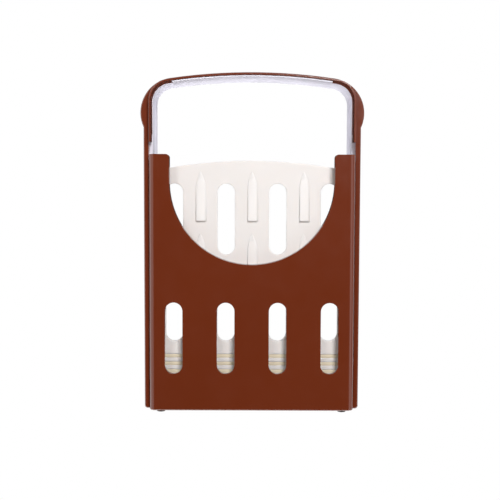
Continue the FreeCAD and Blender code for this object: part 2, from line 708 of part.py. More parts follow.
def make_loaf_bed():
    body = add_body("loaf_bed")
    tray = front_view(body, BED_FACE, "TrayOutline")
    tray.loop(arched(BED_HALF, BED_TOP, d.bed_corner, BED_LOW))
    pad(body, tray, BED_REAR - BED_FACE, "Tray", against_normal=True)
    wall = d.bed_wall
    hollow = front_view(body, BED_REAR, "HollowOutline")
    hollow.loop(arched(BED_HALF - wall, BED_TOP - wall, d.bed_corner - wall, BED_LOW + wall))
    pocket(body, hollow, BED_REAR - BED_UNDER, "Hollow", along_normal=True)
    add_stiffeners(body)
    cut_shallow_end(body)
    add_lugs(body)
    posts = front_view(body, BED_UNDER, "PostOutline")
    for side in SIDES.values():
        posts.circle(side * POST_X, POST_Z, d.post_radius)
    pad(body, posts, POST_END - BED_UNDER, "Posts", against_normal=True)
    cut_bed_slots(body)
    add_wedge_ribs(body)
    bars = front_view(body, BED_FACE, "BarOutline")
    bar_low = d.bar_top - d.bar_wide - (d.bar_count - 1) * d.bar_pitch
    half = BED_HALF - 3 * wall
    bars.rectangle(-half, half, bar_low, bar_low + d.bar_wide)
    groove = pocket(body, bars, d.bar_deep, "GripGroove")
    repeat(body, [groove], "Z_Axis", d.bar_pitch, d.bar_count, "GripGrooves")
    return body


def add_stiffeners(body):
    """Ribs under the bed: one between each two columns of slots, one across between the rows."""
    half = d.stiffener_wall / 2
    along = front_view(body, BED_UNDER, "StiffenerOutline")
    along.rectangle(-SLOT_PITCH - half, -SLOT_PITCH + half, BED_LOW + d.bed_wall / 2,
                    RIB_TOP)
    first = pad(body, along, d.stiffener_deep, "Stiffener", against_normal=True)
    repeat(body, [first], "X_Axis", SLOT_PITCH, as_size(3), "Stiffeners")
    middle = d.bed_slot_low + ((BED_SLOT_LONG + d.bed_slot_gap) + BED_SLOT_LONG) / 2
    across = front_view(body, BED_UNDER, "CrossStiffenerOutline")
    reach = BED_HALF - d.bed_wall / 2
    across.rectangle(-reach, reach, middle - half, middle + half)
    pad(body, across, d.stiffener_deep, "CrossStiffener", against_normal=True)


def cut_shallow_end(body):
    """Cut the skirt back at the near end, so that the unfolded bed clears the sill."""
    shallow = BED_FACE + d.bed_shallow
    below = BED_LOW - d.bed_wall
    behind = BED_REAR + d.bed_wall
    profile = side_view(body, BED_HALF, "ShallowOutline")
    profile.loop([(shallow, below), (behind, below), (behind, d.bed_step_high), (BED_REAR, d.bed_step_high),
                  (shallow, d.bed_step_low)])
    pocket(body, profile, 2 * BED_HALF, "ShallowEnd")


def add_lugs(body):
    """Round ends of the skirts with the bores that turn on the hinge pins."""
    for label, side in SIDES.items():
        start = BED_HALF if side > 0 else d.bed_wall - BED_HALF
        lug = side_view(body, start, f"Lug{label}Outline")
        lug.circle(HINGE_Y, HINGE_Z, LUG_RADIUS)
        pad(body, lug, d.bed_wall, f"Lug{label}", against_normal=True)
    for label, side in SIDES.items():
        start = BED_HALF if side > 0 else d.bed_wall - BED_HALF
        hole = side_view(body, start, f"Bore{label}Outline")
        hole.circle(HINGE_Y, HINGE_Z, d.pin_radius + d.pin_gap)
        pocket(body, hole, d.bed_wall, f"Bore{label}")


def cut_bed_slots(body):
    outline = front_view(body, BED_FACE, "SlotOutline")
    for row in range(2):
        low = d.bed_slot_low + row * (BED_SLOT_LONG + d.bed_slot_gap)
        outline.slot(-1.5 * SLOT_PITCH, low, low + BED_SLOT_LONG, d.slot_radius)
    column = pocket(body, outline, d.bed_thick, "SlotColumn")
    repeat(body, [column], "X_Axis", SLOT_PITCH, as_size(4), "SlotColumns")


def add_wedge_ribs(body):
    """Three columns of three pointed ribs that rise towards the knife and end in a step."""
    outline = front_view(body, BED_FACE, "RibOutline")
    half = d.rib_wide / 2
    for column in (-1, 0, 1):
        for row in range(3):
            x = column * SLOT_PITCH
            tip = RIB_TOP - row * RIB_PITCH
            shoulder = tip - d.rib_point
            outline.loop([(x - half, tip - RIB_LONG), (x + half, tip - RIB_LONG), (x + half, shoulder),
                          (x, tip), (x - half, shoulder)])
    pad(body, outline, d.rib_high, "Ribs")
    slope = side_view(body, SLOT_PITCH + d.rib_wide, "RibSlopeOutline")
    for row in range(3):
        tip = RIB_TOP - row * RIB_PITCH
        step = tip - RIB_LONG
        front = BED_FACE - d.rib_high
        slope.loop([(BED_FACE, tip + d.rib_high), (front - d.rib_high, tip + d.rib_high),
                    (front - d.rib_high, step), (front, step), (BED_FACE, tip)])
    pocket(body, slope, 2 * (SLOT_PITCH + d.rib_wide), "RibSlopes")


def make_stop_plate():
    body = add_body("stop_plate")
    plate = front_view(body, STOP_FRONT, "PlateOutline")
    plate.loop(stop_outline(ZERO, UNDERSIDE, rounded=True))
    pad(body, plate, d.stop_deep, "Plate", against_normal=True)
    hollow = front_view(body, STOP_BACK, "HollowOutline")
    hollow.loop(stop_outline(d.stop_wall, RUNNER_LOW, rounded=False))
    pocket(body, hollow, d.stop_deep - d.stop_skin, "Hollow", along_normal=True)
    slots = front_view(body, STOP_FRONT, "SlotOutline")
    slots.slot(-1.5 * SLOT_PITCH, d.stop_slot_low, STOP_SLOT_HIGH, d.slot_radius)
    slot = pocket(body, slots, d.stop_skin, "Slot")
    repeat(body, [slot], "X_Axis", SLOT_PITCH, as_size(4), "Slots")
    seat_depth = d.small_screw_head_thick
    for name, radius, depth in (("ScrewHoles", d.small_screw, RUNNER_LOW - UNDERSIDE),
                                ("ScrewHeadSeats", d.small_screw_head, seat_depth)):
        holes = top_view(body, UNDERSIDE, f"{name}Outline")
        for x, y in runner_screw_places():
            holes.circle(x, y, radius + d.fit_gap)
        pocket(body, holes, depth, name, along_normal=True)
    dress_edges("Fillet", body, d.stop_round, upright_front_edge, "LongEdges")
    dress_edges("Chamfer", body, d.stop_chamfer, bottom_front_edge, "BottomEdge")
    return body


def stop_outline(inset, low, rounded):
    """Plate with a round cut-out between two tabs, drawn inset from the outer outline."""
    half = STOP_HALF - inset
    top = STOP_TOP - inset
    radius = CUTOUT_RADIUS + inset
    centre = CUTOUT_Z
    corner = d.tab_round
    if rounded:
        right_tab = [(half, top), (radius + corner, top, corner), (radius, top - corner)]
        left_tab = [(-radius, top - corner, corner), (-radius - corner, top), (-half, top)]
    else:
        right_tab = [(half, top), (radius, top)]
        left_tab = [(-radius, top), (-half, top)]
    return ([(-half, low), (half, low)] + right_tab
            + [(radius, centre, -radius), (ZERO, centre - radius, -radius), (-radius, centre)] + left_tab)


def upright_front_edge(edge):
    box = edge.BoundBox
    return (abs(abs(box.Center.x) - STOP_HALF.value) < 0.01 and box.XLength < 0.01
            and abs(box.YMax - STOP_FRONT.value) < 0.01 and box.ZLength > 20)


def bottom_front_edge(edge):
    box = edge.BoundBox
    return (abs(box.ZMax - UNDERSIDE.value) < 0.01 and abs(box.YMax - STOP_FRONT.value) < 0.01
            and box.XLength > 20)


def runner_screw_places():
    y = (STOP_FRONT + d.stop_skin + STOP_BACK) / 2
    return [(side * d.runner_half, y) for side in SIDES.values()]


def make_runner(name, side):
    """Flat bar with one notch on top for each step of slice thickness."""
    body = add_body(name)
    front = STOP_FRONT + d.stop_skin
    corners = [(front, RUNNER_LOW), (RUNNER_TAIL, RUNNER_LOW), (RUNNER_TAIL, RUNNER_HIGH)]
    for step in reversed(range(int(d.notch_count.value))):
        centre = SPRING_BUMP + step * d.notch_pitch
        corners += [(centre + d.notch_deep, RUNNER_HIGH), (centre, RUNNER_HIGH - d.notch_deep),
                    (centre - d.notch_deep, RUNNER_HIGH)]
    corners.append((front, RUNNER_HIGH))
    bar = side_view(body, side * d.runner_half - d.runner_wide / 2, "BarOutline")
    bar.loop(corners)
    pad(body, bar, d.runner_wide, "Bar")
    holes = top_view(body, RUNNER_LOW, "ScrewHoleOutline")
    for x, y in runner_screw_places():
        if x.value * side > 0:
            holes.circle(x, y, d.small_screw)
    pocket(body, holes, UNDERSIDE + d.small_screw_head_thick + d.small_screw_long - RUNNER_LOW + d.fit_gap,
           "ScrewHoles", along_normal=True)
    return body


def cylinder(name, radius, length, x, y, z, axis):
    """Part::Cylinder that starts at (x, y, z) and runs along axis."""
    solid = doc.addObject("Part::Cylinder", name)
    for label, size in (("Radius", radius), ("Height", length)):
        setattr(solid, label, size.value)
        solid.setExpression(label, size.formula)
    x, y, z = as_size(x), as_size(y), as_size(z)
    turn = FreeCAD.Rotation(FreeCAD.Vector(0, 0, 1), FreeCAD.Vector(*axis))
    solid.Placement = FreeCAD.Placement(FreeCAD.Vector(x.value, y.value, z.value), turn)
    for label, size in (("x", x), ("y", y), ("z", z)):
        solid.setExpression(f".Placement.Base.{label}", size.formula)
    return solid


def headed(name, shank, head):
    """Shank and head of a screw as one solid."""
    fused = doc.addObject("Part::MultiFuse", name)
    fused.Shapes = [shank, head]
    return fused


def group(name, members):
    compound = doc.addObject("Part::Compound", name)
    compound.Links = members
    compound.Label = name
    return compound


def make_frame_screws():
    """Four screws from behind, each in a deep bore of the rear half."""
    screws = []
    head_front = SLIT_BACK + d.screw_seat
    for number, (x, z) in enumerate(frame_screw_places(), start=1):
        shank = cylinder(f"FrameShank{number}", d.screw_radius - d.fit_gap, d.screw_grip + d.screw_seat,
                         x, SLIT_BACK - d.screw_grip, z, (0, 1, 0))
        head = cylinder(f"FrameHead{number}", d.screw_head, d.screw_head_thick, x, head_front, z, (0, 1, 0))
        screws.append(headed(f"FrameScrew{number}", shank, head))
    return group("frame_screws", screws)


def make_small_screws(name, places):
    """Short screws from below, their heads sunk in the plate."""
    screws = []
    for number, (x, y) in enumerate(places, start=1):
        head = cylinder(f"{name}Head{number}", d.small_screw_head, d.small_screw_head_thick,
                        x, y, UNDERSIDE, (0, 0, 1))
        length = d.small_screw_head_thick + d.small_screw_long
        shank = cylinder(f"{name}Shank{number}", d.small_screw, length, x, y, UNDERSIDE, (0, 0, 1))
        screws.append(headed(f"{name}Screw{number}", shank, head))
    return group(name, screws)


def make_hinge_pin(name, side):
    """Plain pin from inside the bed's lug to just below the leg's outer face."""
    inner = BED_HALF - d.bed_wall
    outer = LEG_FOOT - d.pin_inset
    pin = cylinder(name, d.pin_radius, outer - inner, side * inner, HINGE_Y, HINGE_Z, (side, 0, 0))
    pin.Label = name
    return pin


def make_foot(name, x, y):
    foot = cylinder(name, d.foot_radius, d.foot_high, x, y, 0, (0, 0, 1))
    foot.Label = name
    return foot


def make_feet():
    """Feet under the gate, under the stop plate and under the far end of the bed."""
    feet = []
    rows = {"front": SLIT_BACK + d.foot_inset, "rear": LINER_BACK - d.foot_inset}
    for label, side in SIDES.items():
        for row, y in rows.items():
            feet.append(make_foot(f"foot_{row}_{label}", side * (PLATE_HALF - d.foot_edge), y))
        stop_radius = (d.stop_deep - d.stop_chamfer) / 2
        stop_foot = cylinder(f"stop_foot_{label}", stop_radius, d.foot_high,
                             side * (STOP_HALF - d.stop_foot_edge), STOP_BACK - stop_radius, 0, (0, 0, 1))
        bed_foot = cylinder(f"bed_foot_{label}", d.bed_foot_radius, d.bed_foot_high,
                            side * POST_X, POST_END, POST_Z, (0, 1, 0))
        feet += [stop_foot, bed_foot]
    return feet


def make_parts():
    parts = [make_front_frame(), make_rear_frame(), make_inner_frame(), make_base_sill(),
             make_base_plate(), make_loaf_bed(), make_stop_plate(), make_frame_screws(),
             make_small_screws("base_screws", base_screw_places()),
             make_small_screws("runner_screws", runner_screw_places())]
    for label, side in SIDES.items():
        parts += [make_hinge_pin(f"hinge_pin_{label}", side), make_bed_catch(f"bed_catch_{label}", side),
                  make_detent_spring(f"detent_spring_{label}", side), make_runner(f"runner_{label}", side)]
    return parts + make_feet()


def check_document():
    """Stop if anything failed to compute, or a cut or an addition changed nothing."""
    for item in doc.Objects:
        if "Invalid" in item.State or "Error" in item.State:
            raise RuntimeError(f"{item.Name} failed: {item.State}")
        base = getattr(item, "BaseFeature", None)
        if base is None or item.TypeId == "PartDesign::Body":
            continue
        change = item.Shape.Volume - base.Shape.Volume
        if item.TypeId == "PartDesign::Pocket" and change > -0.01:
            raise RuntimeError(f"{item.Name} of {item.getParentGeoFeatureGroup().Name} cuts nothing")
        if item.TypeId == "PartDesign::Pad" and change < 0.01:
            raise RuntimeError(f"{item.Name} of {item.getParentGeoFeatureGroup().Name} adds nothing")


def export(parts):
    os.makedirs("parts", exist_ok=True)
    for part in parts:
        if part.Shape.isNull() or not part.Shape.isValid():
            raise RuntimeError(f"{part.Label} has no valid shape")
    for part in parts:
        part.Shape.exportStep(f"parts/{part.Label}.step")
        print(f"{part.Label}: {len(part.Shape.Solids)} solids, {part.Shape.Volume / 1000:.2f} cm3")


parts = make_parts()
doc.recompute()
check_document()
export(parts)
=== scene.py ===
# %% [markdown]
# # A folding bread slicer guide, dressed for the camera
# The guide is an arched gate of brown ABS with a white liner, a white slotted bed that folds up
# inside the gate, and a brown stop plate that slides forward to set the slice. The CAD model
# already holds every wall, slot and chamfer at its real size, so this lesson keeps those solids
# and gives them what a solid has not got: the skin that the mould leaves, softened edges, and the
# small fasteners, springs and pads as they are really formed.

# %% The fixed frame
import math
import bpy
import numpy as np
from mathutils import Matrix, Vector


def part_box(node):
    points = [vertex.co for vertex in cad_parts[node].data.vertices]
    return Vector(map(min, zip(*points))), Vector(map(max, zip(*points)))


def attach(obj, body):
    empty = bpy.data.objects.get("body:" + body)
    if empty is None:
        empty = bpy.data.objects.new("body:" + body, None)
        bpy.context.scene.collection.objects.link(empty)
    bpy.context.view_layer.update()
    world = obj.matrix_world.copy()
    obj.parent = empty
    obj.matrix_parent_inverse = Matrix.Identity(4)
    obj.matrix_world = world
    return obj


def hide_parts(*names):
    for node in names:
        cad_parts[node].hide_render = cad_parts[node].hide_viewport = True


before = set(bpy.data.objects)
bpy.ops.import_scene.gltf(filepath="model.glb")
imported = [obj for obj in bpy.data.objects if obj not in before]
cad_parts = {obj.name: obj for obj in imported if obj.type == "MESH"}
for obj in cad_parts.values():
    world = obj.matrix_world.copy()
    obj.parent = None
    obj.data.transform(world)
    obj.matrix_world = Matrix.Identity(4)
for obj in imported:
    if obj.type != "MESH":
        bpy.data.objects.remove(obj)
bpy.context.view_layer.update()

# %% [markdown]
# ## The camera
# The guide is seen square from the front at about the height of its middle, as a catalogue shows
# it. A lens of about 62 mm on a 36 mm sensor, 0.6 m in front of the stop plate, makes the legs
# run almost straight up while the arch still shows its underside. A camera could be aimed with a
# constraint, but a matrix made from three named values says more plainly where it looks.

# %% Camera
PICTURE_WIDE = 500                            # pixels
FOCAL_PIXELS = 856.5                          # focal length in pixels of that picture
SENSOR_WIDE = 36.0                            # mm
EYE = Vector((-0.0013, -0.6235, 0.152))
PITCH = math.radians(-3.49)
ROLL = math.radians(0.20)

camera_data = bpy.data.cameras.new("front_camera")
camera_data.sensor_width = SENSOR_WIDE
camera_data.lens = FOCAL_PIXELS / PICTURE_WIDE * SENSOR_WIDE
camera = bpy.data.objects.new("front_camera", camera_data)
camera.matrix_world = (Matrix.Translation(EYE) @ Matrix.Rotation(math.pi / 2 + PITCH, 4, "X")
                       @ Matrix.Rotation(ROLL, 4, "Z"))
bpy.context.scene.collection.objects.link(camera)
bpy.context.scene.camera = camera
print(f"lens {camera_data.lens:.1f} mm, eye {EYE.z * 1000:.0f} mm over the floor")

# %% [markdown]
# ## Colours and nodes
# Paint charts and screens give colours as sRGB hex, while a shader works in linear light, so one
# function turns the one into the other. A second adds a node, sets it and links it in one line:
# a material is then read from top to bottom like a recipe.

# %% Helpers for materials
def linear(code):
    """sRGB hex to linear light: a value c up to 0.04045 becomes c / 12.92, and any other
    ((c + 0.055) / 1.055) to the power 2.4. Alpha is 1."""
    channels = np.array([int(code[i:i + 2], 16) for i in (0, 2, 4)]) / 255
    light = np.where(channels <= 0.04045, channels / 12.92, ((channels + 0.055) / 1.055) ** 2.4)
    return (*light.tolist(), 1.0)


def add(tree, kind, settings=None, **inputs):
    """Adds a node, sets its properties, and gives each named input a value or a link. An
    underscore in an input's name stands for a space, and _6 is the input with index 6."""
    node = tree.nodes.new(kind)
    for key, value in (settings or {}).items():
        setattr(node, key, value)
    for key, value in inputs.items():
        socket = node.inputs[int(key[1:]) if key[0] == "_" else key.replace("_", " ")]
        if isinstance(value, bpy.types.NodeSocket):
            tree.links.new(value, socket)
        else:
            socket.default_value = value
    return node


def new_material(name):
    """An empty node material and its tree."""
    material = bpy.data.materials.new(name)
    material.use_nodes = True
    material.node_tree.nodes.clear()
    return material, material.node_tree


def per_mm(size):
    """Scale of a texture on coordinates in metres whose features are size millimetres wide."""
    return 1000.0 / size


# %% [markdown]
# ## Injection moulded plastic
# All the large pieces are ABS, moulded in a spark-eroded tool. The eye reads three things in it:
# a fine satin grain from the tool's wall, a broad unevenness in gloss where the melt flowed, and
# edges that are never sharp, so that they draw thin lines of light round each slot. The grain is
# a noise with a bump, the gloss a noise on the roughness. The edges could be bevelled in the
# mesh, but a chamfer of a quarter of a millimetre round every slot costs many faces, so the
# Bevel node rounds the normal instead, and the angle between that and the flat face's normal
# also picks out the edges, whose colour is mixed to a lighter one as a painted highlight. The
# sand coloured strips in the bed's grooves are painted shade, and the same recipe serves them with
# a duller skin.

# %% Moulded plastic
FLOW_MM, GLOSS_MM = 55, 14               # patches of colour and of gloss
GRAIN_MM = 0.9                           # really about 0.05 mm; this is the finest that shows
TONE_SPREAD = 0.04
HIGHLIGHT_STARTS, HIGHLIGHT_FULL = 0.985, 0.8      # cosines of rounded normal to flat face where the painted edge highlight starts and is full
HIGHLIGHT_MOST = 0.55                         # how far the colour goes to the painted highlight at the very edge
PLASTIC_IOR = 1.54
GLOW_MM = 3.0                            # how far light goes into the white bed


def moulded(name, body, edge_highlight, satin, gloss_spread, specular, edge_mm, glow=0.0, relief_mm=0.008):
    """Base colour = body, varied by TONE_SPREAD each way, and mixed at the edges to a lighter
    colour, a painted highlight.
    Roughness = satin +- gloss_spread. The bump is a grain relief_mm high."""
    material, tree = new_material(name)
    place = add(tree, "ShaderNodeTexCoord").outputs["Object"]
    flow = add(tree, "ShaderNodeTexNoise", Vector=place, Scale=per_mm(FLOW_MM), Detail=2.0,
               Roughness=0.4)
    gloss = add(tree, "ShaderNodeTexNoise", Vector=place, Scale=per_mm(GLOSS_MM), Detail=3.0,
                Roughness=0.6)
    grain = add(tree, "ShaderNodeTexNoise", Vector=place, Scale=per_mm(GRAIN_MM), Detail=2.0)
    rounded = add(tree, "ShaderNodeBevel", {"samples": 4}, Radius=edge_mm / 1000)
    flat = add(tree, "ShaderNodeNewGeometry").outputs["True Normal"]
    same = add(tree, "ShaderNodeVectorMath", {"operation": "DOT_PRODUCT"},
               _0=rounded.outputs["Normal"], _1=flat)
    # The edges picked out by the rounded normal get a lighter colour: a painted highlight, not
    # wear.
    edge = add(tree, "ShaderNodeMapRange", Value=same.outputs["Value"], From_Min=HIGHLIGHT_STARTS,
               From_Max=HIGHLIGHT_FULL, To_Min=0.0, To_Max=HIGHLIGHT_MOST)
    red, green, blue, alpha = linear(body)
    dark = (*((1 - TONE_SPREAD) * c for c in (red, green, blue)), alpha)
    light = (*(min(1.0, (1 + TONE_SPREAD) * c) for c in (red, green, blue)), alpha)
    tone = add(tree, "ShaderNodeMix", {"data_type": "RGBA"}, Factor=flow.outputs["Fac"],
               _6=dark, _7=light)
    edge_lit = add(tree, "ShaderNodeMix", {"data_type": "RGBA"}, Factor=edge.outputs["Result"],
                 _6=tone.outputs[2], _7=linear(edge_highlight))
    rough = add(tree, "ShaderNodeMapRange", Value=gloss.outputs["Fac"], From_Min=0.3, From_Max=0.7,
                To_Min=satin - gloss_spread, To_Max=satin + gloss_spread)
    relief = add(tree, "ShaderNodeBump", Strength=0.5, Distance=relief_mm / 1000,
                 Height=grain.outputs["Fac"], Normal=rounded.outputs["Normal"])
    shader = add(tree, "ShaderNodeBsdfPrincipled", Base_Color=edge_lit.outputs[2],
                 Roughness=rough.outputs["Result"], Normal=relief.outputs["Normal"],
                 Specular_IOR_Level=specular, IOR=PLASTIC_IOR)
    if glow:
        shader.inputs["Subsurface Weight"].default_value = glow
        shader.inputs["Subsurface Radius"].default_value = (1.0, 0.9, 0.8)
        shader.inputs["Subsurface Scale"].default_value = GLOW_MM / 1000
    add(tree, "ShaderNodeOutputMaterial", Surface=shader.outputs["BSDF"])
    return material


# body, lighter colour for the painted highlight at the edges, roughness and its spread, specular
# level, edge radius in mm
brown_abs = moulded("abs_brown_satin_moulded", "682A13", "9A5E46", 0.20, 0.03, 0.50, 0.35)
bed_abs = moulded("abs_warm_white_satin_moulded", "E2DDDA", "F3EFED", 0.36, 0.04, 0.50, 1.1,
                  glow=0.25)
liner_abs = moulded("abs_cool_white_gloss_moulded", "EFEDF8", "FAF9FE", 0.24, 0.03, 0.50, 0.30,
                    relief_mm=0.002)
# The sand colour of the groove strips is painted shade: the warm shade that falls in the bed's
# grooves.
groove_shade_plastic = moulded("painted_groove_shade_matt", "DDD0B6", "EAE2D0", 0.55, 0.05, 0.35, 0.30)
print("materials:", brown_abs.name, bed_abs.name, liner_abs.name, groove_shade_plastic.name)

# %% [markdown]
# ## Plated steel, spring steel and rubber
# The screws are zinc plated: a grey metal with a fine crystalline grain. The springs are blanked
# from rolled strip, so their grain runs one way. The pads are moulded in black rubber with a
# dull, slightly stippled skin. A metal keeps the shader's own IOR.

# %% Zinc plated screws and pins
zinc, tree = new_material("steel_zinc_plated")
place = add(tree, "ShaderNodeTexCoord").outputs["Object"]
# Plated zinc's crystals are far finer than 0.5 mm, which is the finest that still shows.
crystals = add(tree, "ShaderNodeTexVoronoi", Vector=place, Scale=per_mm(0.5))
cloud = add(tree, "ShaderNodeTexNoise", Vector=place, Scale=per_mm(2.5), Detail=3.0)
tone = add(tree, "ShaderNodeMix", {"data_type": "RGBA"}, Factor=cloud.outputs["Fac"],
           _6=linear("B4B7BC"), _7=linear("CFCDC4"))
rough = add(tree, "ShaderNodeMapRange", Value=crystals.outputs["Distance"], To_Min=0.26,
            To_Max=0.42)
relief = add(tree, "ShaderNodeBump", Strength=0.2, Distance=0.01 / 1000,
             Height=crystals.outputs["Distance"])
shader = add(tree, "ShaderNodeBsdfPrincipled", Base_Color=tone.outputs[2], Metallic=1.0,
             Roughness=rough.outputs["Result"], Normal=relief.outputs["Normal"])
add(tree, "ShaderNodeOutputMaterial", Surface=shader.outputs["BSDF"])

# %% Rolled spring strip
strip_steel, tree = new_material("steel_spring_strip_rolled")
place = add(tree, "ShaderNodeTexCoord").outputs["Object"]
# Real rolling lines are about 0.05 mm apart. They are drawn 0.25 mm apart, the finest that still
# shows, and run on for 12 mm along Y, the spring's length.
along = add(tree, "ShaderNodeMapping", Vector=place,
            Scale=(per_mm(0.25), per_mm(12), per_mm(0.25)))
lines = add(tree, "ShaderNodeTexNoise", Vector=along.outputs["Vector"], Scale=1.0, Detail=2.0)
rough = add(tree, "ShaderNodeMapRange", Value=lines.outputs["Fac"], To_Min=0.18, To_Max=0.36)
relief = add(tree, "ShaderNodeBump", Strength=0.25, Distance=0.008 / 1000,
             Height=lines.outputs["Fac"])
shader = add(tree, "ShaderNodeBsdfPrincipled", Base_Color=linear("A7A8AA"), Metallic=1.0,
             Roughness=rough.outputs["Result"], Normal=relief.outputs["Normal"])
add(tree, "ShaderNodeOutputMaterial", Surface=shader.outputs["BSDF"])

# %% Moulded rubber
rubber, tree = new_material("rubber_black_moulded")
place = add(tree, "ShaderNodeTexCoord").outputs["Object"]
# The tool's stipple is 0.35 mm wide, and the kitchen's dust lies in patches of 3 mm.
stipple = add(tree, "ShaderNodeTexNoise", Vector=place, Scale=per_mm(0.35), Detail=3.0,
              Roughness=0.7)
dust = add(tree, "ShaderNodeTexNoise", Vector=place, Scale=per_mm(3.0), Detail=2.0)
tone = add(tree, "ShaderNodeMix", {"data_type": "RGBA"}, Factor=dust.outputs["Fac"],
           _6=linear("2A2522"), _7=linear("3A322D"))
relief = add(tree, "ShaderNodeBump", Strength=0.5, Distance=0.03 / 1000,
             Height=stipple.outputs["Fac"])
shader = add(tree, "ShaderNodeBsdfPrincipled", Base_Color=tone.outputs[2], Roughness=0.78,
             IOR=1.5, Normal=relief.outputs["Normal"])
add(tree, "ShaderNodeOutputMaterial", Surface=shader.outputs["BSDF"])
print("materials:", zinc.name, strip_steel.name, rubber.name)

# %% [markdown]
# ## Dressing the solids
# A CAD solid keeps its mesh, and only its slot gets a new material. The front half, the rear
# half, the stop plate and its runners come out of brown moulds, the liner, the sill and its base
# plate out of white ones, and the bed and its catches out of a warmer white with a satin face.

# %% CAD solids and their finishes
FINISHES = {
    "front_frame": brown_abs, "rear_frame": brown_abs, "stop_plate": brown_abs,
    "runner_left": brown_abs, "runner_right": brown_abs,
    "inner_frame": liner_abs, "base_sill": liner_abs, "base_plate": liner_abs,
    "loaf_bed": bed_abs, "bed_catch_left": bed_abs, "bed_catch_right": bed_abs,
}
for node_name, finish in FINISHES.items():
    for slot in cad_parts[node_name].material_slots:
        slot.material = finish
print("dressed:", len(FINISHES), "solids")

# %% [markdown]
# ## Pieces worked out as surfaces
# The small pieces are all surfaces of two parameters: u goes round or across, v goes along. One
# function turns a grid of points into a closed mesh, so that every piece below is only a formula
# for its points. The grid is written straight into the mesh as whole arrays.

# %% From a grid to a mesh
SHARP = math.radians(40)      # faces that meet at more than this keep their edge


def grid_faces(rows, columns, first=0):
    """Quads of a grid whose rows are rings: point (i, j) is joined to (i, j + 1) round the ring
    and to (i + 1, j) along it. The index of a point is first + i * columns + j."""
    i, j = np.meshgrid(np.arange(rows - 1), np.arange(columns), indexing="ij")
    k = (j + 1) % columns
    corners = [i * columns + j, i * columns + k, (i + 1) * columns + k, (i + 1) * columns + j]
    return first + np.stack(corners, -1).reshape(-1, 4)


def closed_piece(name, grids, material, body, replaced):
    """Mesh of several ring grids of shape (rows, columns, 3) in metres. Each grid's first and last
    ring is closed by a fan to its middle, and a ring runs anticlockwise seen from the grid's end.
    The piece rides on body and stands for the nodes in replaced, if there are any."""
    points, faces, base = [], [], 0
    for grid in grids:
        rows, columns = grid.shape[:2]
        points += [grid.reshape(-1, 3), np.stack([grid[0].mean(0), grid[-1].mean(0)])]
        faces += grid_faces(rows, columns, base).tolist()
        ring = np.arange(columns)
        after = (ring + 1) % columns
        last = base + (rows - 1) * columns
        low = base + rows * columns                       # index of the first ring's middle
        high = low + 1                                    # and of the last ring's
        faces += np.stack([np.full(columns, low), base + after, base + ring], -1).tolist()
        faces += np.stack([np.full(columns, high), last + ring, last + after], -1).tolist()
        base = high + 1
    mesh = bpy.data.meshes.new(name)
    mesh.from_pydata(np.concatenate(points).tolist(), [], faces)
    mesh.polygons.foreach_set("use_smooth", np.ones(len(mesh.polygons), bool))
    mesh.set_sharp_from_angle(angle=SHARP)
    mesh.materials.append(material)
    piece = bpy.data.objects.new(name, mesh)
    bpy.context.scene.collection.objects.link(piece)
    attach(piece, body)
    if replaced:
        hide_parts(*replaced)
    print(f"{name}: {len(mesh.vertices)} points")


def turned(radii, heights, columns=48):
    """Surface of revolution round Z: x = r cos u, y = r sin u, z = h."""
    u = np.linspace(0, 2 * np.pi, columns, endpoint=False)
    radii, heights = np.asarray(radii, float)[:, None], np.asarray(heights, float)[:, None]
    return np.stack([radii * np.cos(u), radii * np.sin(u), heights + 0 * u], -1)


def stood(grid, centre, axis):
    """Turns a grid's +Z to axis and moves its origin to centre."""
    turn = np.array(Vector((0, 0, 1)).rotation_difference(Vector(axis)).to_matrix())
    return grid @ turn.T + np.asarray(centre, float)


# %% [markdown]
# ## Screws
# The two halves of the gate are held by four screws from behind, and the base plate and runners
# by short ones from below. A thread could be cut with the Screw modifier, but as a formula it is
# one line: the radius swells with a triangle wave of the height less the turn round the axis.
# The cross recess is pressed into the head, so the head's top dips where the point lies inside
# one of two crossed bars.

# %% Screw surface
THREAD_DEEP = 0.22            # of the shank's radius
RUN_OUT = 0.6                 # mm in which the thread fades under the head
POINT_LONG = 1.6              # shank radii in which the tip tapers
CROSS_LONG, CROSS_WIDE = 0.58, 0.17      # half a bar of the recess, in head radii
CROSS_DEEP = 0.55             # of the head's thickness


def screw(shank, length, head, thick, pitch, columns=60):
    """Radii and lengths in millimetres. Tip at z = 0, head from length to length + thick.
    Thread: r = shank * (1 - THREAD_DEEP * |2 frac(z / pitch - u / 2 pi) - 1|), run out at both
    ends. Head: r = head * (sin a)^0.7 and z rises with (cos a)^0.8, less the recess, whose depth
    is a ramp of the distance inside the cross."""
    u = np.linspace(0, 2 * np.pi, columns, endpoint=False)[None, :]
    z = np.linspace(0, length, int(length / pitch * 8))[:, None]
    point = np.clip(z / (POINT_LONG * shank), 0.12, 1)
    run_out = np.clip((length - RUN_OUT - z) / RUN_OUT, 0, 1)
    wave = np.abs(2 * np.mod(z / pitch - u / (2 * np.pi), 1) - 1)
    radius = shank * point * (1 - THREAD_DEEP * wave * run_out)
    shaft = np.stack([radius * np.cos(u), radius * np.sin(u), z + 0 * u], -1)
    under = turned([head * 0.96, head], [length, length + 0.12 * thick], columns)
    a = np.linspace(0.5 * np.pi, 0.0, 22)[:, None]
    rim = 0.55 * thick
    r = head * np.sin(a) ** 0.7
    crown = length + thick - rim + rim * np.cos(a) ** 0.8 + 0 * u
    x, y = r * np.cos(u), r * np.sin(u)
    long_way, short_way = np.maximum(abs(x), abs(y)), np.minimum(abs(x), abs(y))
    inside = np.clip((CROSS_LONG * head - long_way) / (0.10 * head), 0, 1)
    inside = inside * np.clip((CROSS_WIDE * head - short_way) / (0.07 * head), 0, 1)
    top = np.stack([x, y, crown - CROSS_DEEP * thick * inside], -1)
    return np.concatenate([shaft, under, top])


